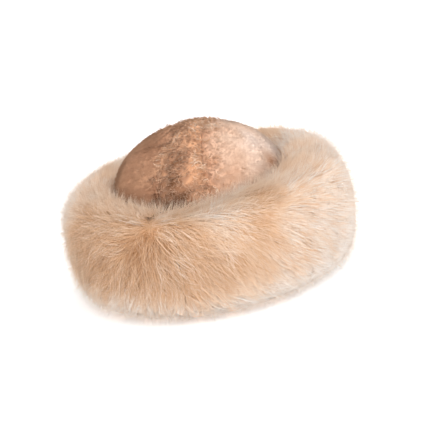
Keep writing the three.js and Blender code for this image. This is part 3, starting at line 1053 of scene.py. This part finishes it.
def shade_by_place(made, shade_at, bare_inside):
    """Gives a closed piece the map of the hairs, with the shade at its place, or 1 where it is
    bare inside."""
    mesh = made.data
    points = np.empty(len(mesh.vertices) * 3, np.float32)
    mesh.vertices.foreach_get("co", points)
    corner = np.empty(len(mesh.loops), np.int32)
    mesh.loops.foreach_get("vertex_index", corner)
    shade = np.clip(shade_at(points.reshape(-1, 3).astype(float)), 0.01, 0.95)
    inside = [looks_off_crown(vertex) < -0.2 for vertex in mesh.vertices]
    shade = np.where(inside, 1, shade) if bare_inside else shade
    uv = np.stack([shade, np.full(len(shade), CLOSED_ALONG)], -1)[corner]
    mesh.uv_layers.new(name="hair").uv.foreach_set("vector", uv.ravel().astype(np.float32))


def fur_finish(name, fur):
    """The finish of the long fur, from its darkest to its palest hair."""
    stops = [(0.1, fur.tan), (0.4, fur.peach), (0.66, fur.cream), (0.92, fur.tips)]
    root, tint = srgb(222, 184, 152), srgb(255, 226, 200)
    return hair_finish(name, stops, root, fur.tips, 0.6, tint, 0.34)


def fur_layers(fur):
    """What the long hair of the cuff is like, the short hair below it, and the pale wisps."""
    hair = {
        "per_lock": 7,
        "hairs": fur.hairs,
        "length": fur.length,
        "points": 4,
        "half_width": fur.half_width,
        "root": 9 * MM,
        "loft": -4 * MM,
        "flyaway": 0.1,
        "reach": ROOTS_OVER,
        "tangle": 1,
        "gather": fur.gather,
        "paler": 0,
    }
    down = hair | {
        "per_lock": 5,
        "hairs": fur.down,
        "length": fur.down_length,
        "points": 3,
        "half_width": fur.half_width * 1.3,
        "root": 8 * MM,
        "loft": -4.5 * MM,
        "flyaway": 0,
    }
    wisps = hair | {
        "per_lock": 5,
        "hairs": fur.wisps,
        "length": 0.6 * fur.length,
        "half_width": 0.8 * fur.half_width,
        "loft": -2.5 * MM,
        "reach": (0.2, 0.62),
        "tangle": 1.5,
        "gather": 0.6,
        "paler": 0.25,
    }
    return {"hair": hair, "down": down, "wisps": wisps}


# How much light comes from the floor, and from the lights
FLOOR_GLOW = 0.27
LIGHTS = (
    # name, place, size, power
    ("key", (1.5, -1.7, 1.5), 1.8, 34),
    ("fill", (-0.6, -2.2, 1.0), 1.8, 12),
    ("back", (0.4, 1.8, 1.6), 1.6, 14),
)
# What the camera looks at: a height in the hat, and how far right of it and below it, in mm
AIM_HEIGHT = 60 * MM
AIM_RIGHT = 14.1
AIM_DOWN = 1.9


def area_light(name, place, size, power):
    """A soft square light that faces the hat."""
    bpy.ops.object.light_add(type="AREA", location=place)
    light = bpy.context.object
    light.name = name
    light.data.size = size
    light.data.energy = power
    light.rotation_euler = (Vector(HEAD) - Vector(place)).to_track_quat("-Z", "Y").to_euler()


def make_camera(stage):
    """The camera at the photograph's angle, with its picture rolled as the photograph's is."""
    aim = Vector((HEAD[0], HEAD[1], AIM_HEIGHT))
    back = Vector(
        (
            math.sin(stage.azimuth) * math.cos(stage.elevation),
            -math.cos(stage.azimuth) * math.cos(stage.elevation),
            math.sin(stage.elevation),
        )
    )
    right = Vector((math.cos(stage.azimuth), math.sin(stage.azimuth), 0))
    up = back.cross(right)
    right, up = (
        right * math.cos(stage.roll) - up * math.sin(stage.roll),
        up * math.cos(stage.roll) + right * math.sin(stage.roll),
    )
    aim += right * AIM_RIGHT * MM - up * AIM_DOWN * MM
    data = bpy.data.cameras.new("camera")
    data.lens = stage.lens
    data.sensor_width = 36
    camera = bpy.data.objects.new("camera", data)
    bpy.context.collection.objects.link(camera)
    turn = Matrix((right, up, back)).transposed().to_4x4()
    camera.matrix_world = Matrix.Translation(aim + back * stage.distance) @ turn
    bpy.context.scene.camera = camera


# What makes the hat, one step after another


class HAT_OT_stage(bpy.types.Operator):
    """Makes the floor, the light and the camera"""

    bl_idname = "hat.stage"
    bl_label = "Stage"

    def execute(self, context):
        _, _, stage = settings()
        bpy.ops.mesh.primitive_plane_add(size=30, location=(0, 0, 0))
        floor = context.object
        floor.name = "floor"
        finish = Finish("floor", roughness=0.9)
        finish.shader.inputs["Base Color"].default_value = (*stage.floor, 1)
        finish.shader.inputs["Emission Color"].default_value = (1, 1, 1, 1)
        finish.shader.inputs["Emission Strength"].default_value = FLOOR_GLOW
        floor.data.materials.append(finish.material)

        world = bpy.data.worlds.new("studio")
        world.use_nodes = True
        background = world.node_tree.nodes["Background"]
        background.inputs["Color"].default_value = (1, 1, 1, 1)
        background.inputs["Strength"].default_value = 1.0
        context.scene.world = world
        for light in LIGHTS:
            area_light(*light)
        context.scene.view_settings.view_transform = "Standard"
        make_camera(stage)
        return {"FINISHED"}


class HAT_OT_crown_panels(bpy.types.Operator):
    """Makes the skin and the closed pile of the three crown panels"""

    bl_idname = "hat.crown_panels"
    bl_label = "Crown Panels"

    def execute(self, context):
        _, crown, _ = settings()
        for panel, side in PANELS.items():
            node = f"crown_{panel}_panel"
            made = copy_of(node, f"crown_{panel}_skin")
            crease_edges(made)
            apply_modifier(made, "SUBSURF", levels=1, render_levels=1)
            sink_outside(made, SKIN_DEPTH, looks_off_crown)
            bpy.ops.object.shade_smooth()
            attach(made, "root")
            shade_by_place(made, lambda points, side=side: skin_shade(points, side), True)
            finish = skin_finish(f"{panel} skin", pile_stops(crown, side), crown.suede)
            dress(made, finish, PILE_SLOTS[panel], node)
        return {"FINISHED"}


class HAT_OT_crown_pile(bpy.types.Operator):
    """Lays the sheared pile over the crown: smooth on its sides, and in tufts in the middle"""

    bl_idname = "hat.crown_pile"
    bl_label = "Crown Pile"

    def execute(self, context):
        _, crown, _ = settings()
        for panel, side in PANELS.items():
            rng = np.random.default_rng(20 + side)
            stops = pile_stops(crown, side)
            if side:
                made = side_pile(rng, f"crown_{panel}_pile", side, crown)
                finish = hair_finish(
                    f"{panel} pile", stops, SIDE_ROOTS, stops[1][1], PILE_SHEEN, stops[2][1], 0.1
                )
            else:
                made = centre_tufts(rng, "crown_centre_tufts", crown)
                finish = hair_finish(
                    "centre tufts", stops, TUFT_ROOTS, stops[3][1], PILE_SHEEN, stops[2][1], 0.3
                )
            dress(made, finish, PILE_SLOTS[panel])
        return {"FINISHED"}


class HAT_OT_cuff_down(bpy.types.Operator):
    """Makes the closed underfur of the two halves of the cuff"""

    bl_idname = "hat.cuff_down"
    bl_label = "Cuff Underfur"

    def execute(self, context):
        fur, _, _ = settings()
        finish = fur_finish("underfur", fur)
        for half in SIDES:
            node = f"fur_cuff_{half}"
            made = copy_of(node, f"cuff_{half}_underfur")
            apply_modifier(made, "REMESH", mode="VOXEL", voxel_size=UNDERFUR_GRAIN)
            sink_outside(made, UNDERFUR_MOST, looks_off_cuff, underfur_share)
            apply_modifier(made, "SMOOTH", factor=0.5, iterations=10)
            bpy.ops.object.shade_smooth()
            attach(made, "root")
            shade_by_place(made, lambda points: np.minimum(fur_shade(points), 0.6), False)
            dress(made, finish, "long_fur", node)
        return {"FINISHED"}


class HAT_OT_cuff_fur(bpy.types.Operator):
    """Lays the fur over the cuff: long hair, down and single tips, and wisps at the front"""

    bl_idname = "hat.cuff_fur"
    bl_label = "Cuff Fur"

    def execute(self, context):
        fur, _, _ = settings()
        finish = fur_finish("long fur", fur)
        layers = fur_layers(fur)
        seed = 100
        for half, side in SIDES.items():
            for part, low, high in QUARTERS:
                for kind in ("hair", "down"):
                    seed += 1
                    rng = np.random.default_rng(seed)
                    name = f"cuff_{half}_{part}_{kind}"
                    made = fur_hairs(rng, name, side, low, high, fur, layers[kind])
                    dress(made, finish, "long_fur")
            rng = np.random.default_rng(seed + 50)
            made = fur_fuzz(rng, f"cuff_{half}_fuzz", side, fur)
            dress(made, finish, "long_fur")
        rng = np.random.default_rng(200)
        name = "cuff_right_wisps"
        made = fur_hairs(rng, name, SIDES["right"], SEAM_TURN, 1.2, fur, layers["wisps"])
        dress(made, finish, "long_fur")
        return {"FINISHED"}


class HAT_PT_maker(bpy.types.Panel):
    """Lists the hat's pieces and their settings"""

    bl_label = "Fur Hat"
    bl_idname = "HAT_PT_maker"
    bl_space_type = "VIEW_3D"
    bl_region_type = "UI"
    bl_category = "Hat"

    def draw(self, context):
        groups = (context.scene.hat_fur, context.scene.hat_crown, context.scene.hat_stage)
        for group in groups:
            box = self.layout.box()
            for name in group.__annotations__:
                box.prop(group, name)
        for operator in OPERATORS:
            self.layout.operator(operator.bl_idname)


GROUPS = {"hat_fur": FurSettings, "hat_crown": CrownSettings, "hat_stage": StageSettings}
OPERATORS = (
    HAT_OT_stage,
    HAT_OT_crown_panels,
    HAT_OT_crown_pile,
    HAT_OT_cuff_down,
    HAT_OT_cuff_fur,
)


def register():
    """Makes the settings, the operators and the panel known to Blender."""
    for made in (*GROUPS.values(), *OPERATORS, HAT_PT_maker):
        bpy.utils.register_class(made)
    for name, group in GROUPS.items():
        setattr(bpy.types.Scene, name, PointerProperty(type=group))


def unregister():
    """Takes them away again."""
    for name in GROUPS:
        delattr(bpy.types.Scene, name)
    for made in (HAT_PT_maker, *reversed(OPERATORS), *GROUPS.values()):
        bpy.utils.unregister_class(made)


def main():
    """Makes the hat and its stage."""
    register()
    bpy.ops.hat.stage()
    bpy.ops.hat.crown_panels()
    bpy.ops.hat.crown_pile()
    bpy.ops.hat.cuff_down()
    bpy.ops.hat.cuff_fur()


if __name__ == "__main__":
    main()
